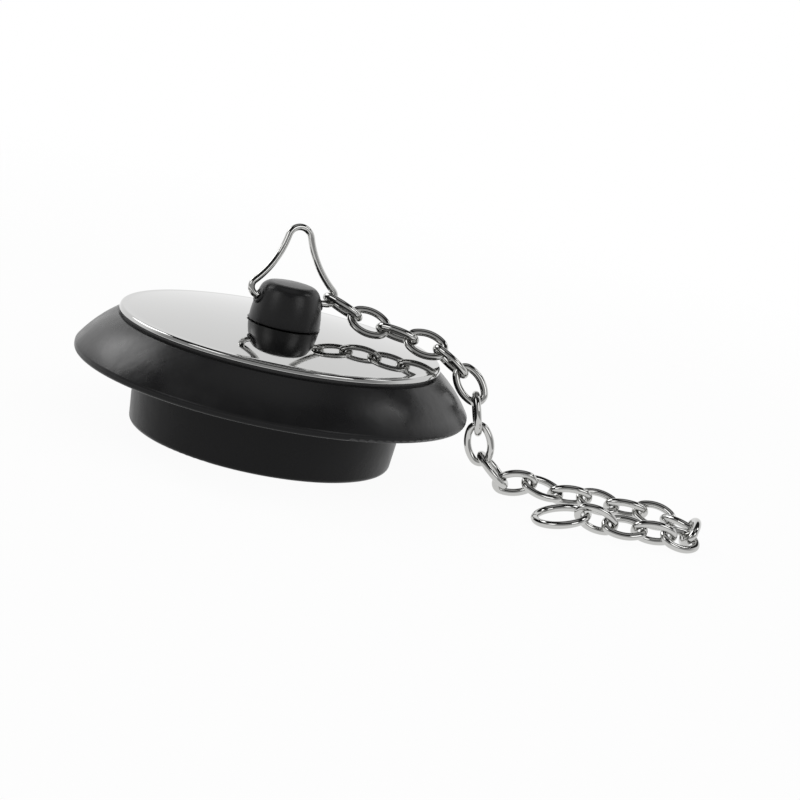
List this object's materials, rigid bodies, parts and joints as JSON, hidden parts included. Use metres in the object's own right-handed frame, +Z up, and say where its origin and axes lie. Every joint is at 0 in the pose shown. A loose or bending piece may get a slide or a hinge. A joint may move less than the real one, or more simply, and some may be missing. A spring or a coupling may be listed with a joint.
{
  "type": "drain stopper",
  "caption": "Rubber drain plug with a wide flange, a domed polished plate, a knob, a hinged wire bail and a link chain that ends in a split ring.",
  "frame": {"origin": "centre of the lower plug's bottom edge, on the plug's axis", "axes": "+Z up along the plug's axis, +X along the bail's pins towards the corner that carries the chain"},
  "size_m": [0.0943, 0.0736, 0.0355],
  "materials": {
    "moulded_rubber": "semi-matte moulded black rubber",
    "polished_stainless": "mirror-polished stainless steel",
    "bright_wire": "bright plated steel wire"
  },
  "bodies": {
    "plug": {"rubber_plug": "moulded_rubber", "top_plate": "polished_stainless"},
    "bail": {"bail": "bright_wire"},
    "link_01": {"link_01": "bright_wire"},
    "link_02": {"link_02": "bright_wire"},
    "link_03": {"link_03": "bright_wire"},
    "link_04": {"link_04": "bright_wire"},
    "link_05": {"link_05": "bright_wire"},
    "link_06": {"link_06": "bright_wire"},
    "link_07": {"link_07": "bright_wire"},
    "link_08": {"link_08": "bright_wire"},
    "link_09": {"link_09": "bright_wire"},
    "link_10": {"link_10": "bright_wire"},
    "link_11": {"link_11": "bright_wire"},
    "link_12": {"link_12": "bright_wire"},
    "link_13": {"link_13": "bright_wire"},
    "link_14": {"link_14": "bright_wire"},
    "link_15": {"link_15": "bright_wire"},
    "link_16": {"link_16": "bright_wire"},
    "link_17": {"link_17": "bright_wire"},
    "link_18": {"link_18": "bright_wire"},
    "link_19": {"link_19": "bright_wire"},
    "link_20": {"link_20": "bright_wire"},
    "link_21": {"link_21": "bright_wire"},
    "end_ring": {"end_ring": "bright_wire"}
  },
  "joints": [
    {"name": "bail_swing", "type": "hinge", "parent": "plug", "child": "bail", "pos_m": [0, 0, 0.02365], "axis": [-1, 0, 0], "range_deg": [0, 85]},
    {"name": "link_01_swing", "type": "hinge", "parent": "bail", "child": "link_01", "pos_m": [0.00768, 0.00016, 0.02439], "axis": [0.415, 0.1892, 0.8899], "range_deg": [-60, 0]},
    {"name": "link_02_swing", "type": "hinge", "parent": "link_01", "child": "link_02", "pos_m": [0.01158, -0.00233, 0.02264], "axis": [0.3878, 0.8257, -0.4098], "range_deg": [-60, 0]},
    {"name": "link_03_swing", "type": "hinge", "parent": "link_02", "child": "link_03", "pos_m": [0.01561, -0.00497, 0.0217], "axis": [-0.3784, -0.3317, -0.8642], "range_deg": [0, 60]},
    {"name": "link_04_swing", "type": "hinge", "parent": "link_03", "child": "link_04", "pos_m": [0.01975, -0.00753, 0.0212], "axis": [-0.4207, -0.7684, 0.4822], "range_deg": [0, 60]},
    {"name": "link_05_swing", "type": "hinge", "parent": "link_04", "child": "link_05", "pos_m": [0.02371, -0.01026, 0.02037], "axis": [-0.5069, -0.2573, -0.8227], "range_deg": [0, 60]},
    {"name": "link_06_swing", "type": "hinge", "parent": "link_05", "child": "link_06", "pos_m": [0.02707, -0.01269, 0.0177], "axis": [0.2785, 0.8815, -0.3812], "range_deg": [-60, 0]},
    {"name": "link_07_swing", "type": "hinge", "parent": "link_06", "child": "link_07", "pos_m": [0.02952, -0.0147, 0.014], "axis": [-0.8714, 0.1778, -0.4573], "range_deg": [-22.5, 30]},
    {"name": "link_08_swing", "type": "hinge", "parent": "link_07", "child": "link_08", "pos_m": [0.03028, -0.01549, 0.00918], "axis": [0.3848, 0.9186, -0.0901], "range_deg": [-60, 60]},
    {"name": "link_09_swing", "type": "hinge", "parent": "link_08", "child": "link_09", "pos_m": [0.03191, -0.01668, 0.00475], "axis": [-0.7229, 0.3738, -0.5812], "range_deg": [-22.5, 60]},
    {"name": "link_10_swing", "type": "hinge", "parent": "link_09", "child": "link_10", "pos_m": [0.03537, -0.01888, 0.00196], "axis": [-0.512, -0.8565, -0.0653], "range_deg": [-42.5, 60]},
    {"name": "link_11_swing", "type": "hinge", "parent": "link_10", "child": "link_11", "pos_m": [0.03961, -0.02059, 0.0031], "axis": [-0.1794, -0.2814, 0.9427], "range_deg": [-30, 60]},
    {"name": "link_12_swing", "type": "hinge", "parent": "link_11", "child": "link_12", "pos_m": [0.04401, -0.02199, 0.00197], "axis": [0.3631, 0.8073, 0.4652], "range_deg": [-60, 60]},
    {"name": "link_13_swing", "type": "hinge", "parent": "link_12", "child": "link_13", "pos_m": [0.04827, -0.02394, 0.00237], "axis": [-0.25, -0.5295, 0.8106], "range_deg": [-60, 60]},
    {"name": "link_14_swing", "type": "hinge", "parent": "link_13", "child": "link_14", "pos_m": [0.05264, -0.02563, 0.00195], "axis": [-0.3415, -0.7001, -0.627], "range_deg": [-60, 60]},
    {"name": "link_15_swing", "type": "hinge", "parent": "link_14", "child": "link_15", "pos_m": [0.05674, -0.02791, 0.00213], "axis": [-0.4111, -0.5655, 0.7149], "range_deg": [-60, 60]},
    {"name": "link_16_swing", "type": "hinge", "parent": "link_15", "child": "link_16", "pos_m": [0.05985, -0.03143, 0.00184], "axis": [-0.5619, -0.3384, -0.7548], "range_deg": [-60, 60]},
    {"name": "link_17_swing", "type": "hinge", "parent": "link_16", "child": "link_17", "pos_m": [0.06086, -0.03597, 0.00227], "axis": [0.8079, -0.0835, -0.5834], "range_deg": [-37.5, 30]},
    {"name": "link_18_swing", "type": "hinge", "parent": "link_17", "child": "link_18", "pos_m": [0.05787, -0.0397, 0.00182], "axis": [0.2398, -0.4341, 0.8684], "range_deg": [-15, 60]},
    {"name": "link_19_swing", "type": "hinge", "parent": "link_18", "child": "link_19", "pos_m": [0.05316, -0.03958, 0.00209], "axis": [-0.1699, -0.8361, -0.5217], "range_deg": [-60, 60]},
    {"name": "link_20_swing", "type": "hinge", "parent": "link_19", "child": "link_20", "pos_m": [0.0489, -0.03752, 0.00223], "axis": [0.2117, 0.4696, -0.8571], "range_deg": [-60, 60]},
    {"name": "link_21_swing", "type": "hinge", "parent": "link_20", "child": "link_21", "pos_m": [0.04456, -0.03573, 0.00202], "axis": [0.3597, 0.7866, 0.5019], "range_deg": [-60, 60]},
    {"name": "end_ring_swing", "type": "hinge", "parent": "link_21", "child": "end_ring", "pos_m": [0.04037, -0.03396, 0.00304], "axis": [-0.1361, -0.3325, 0.9332], "range_deg": [-50, 15]}
  ]
}
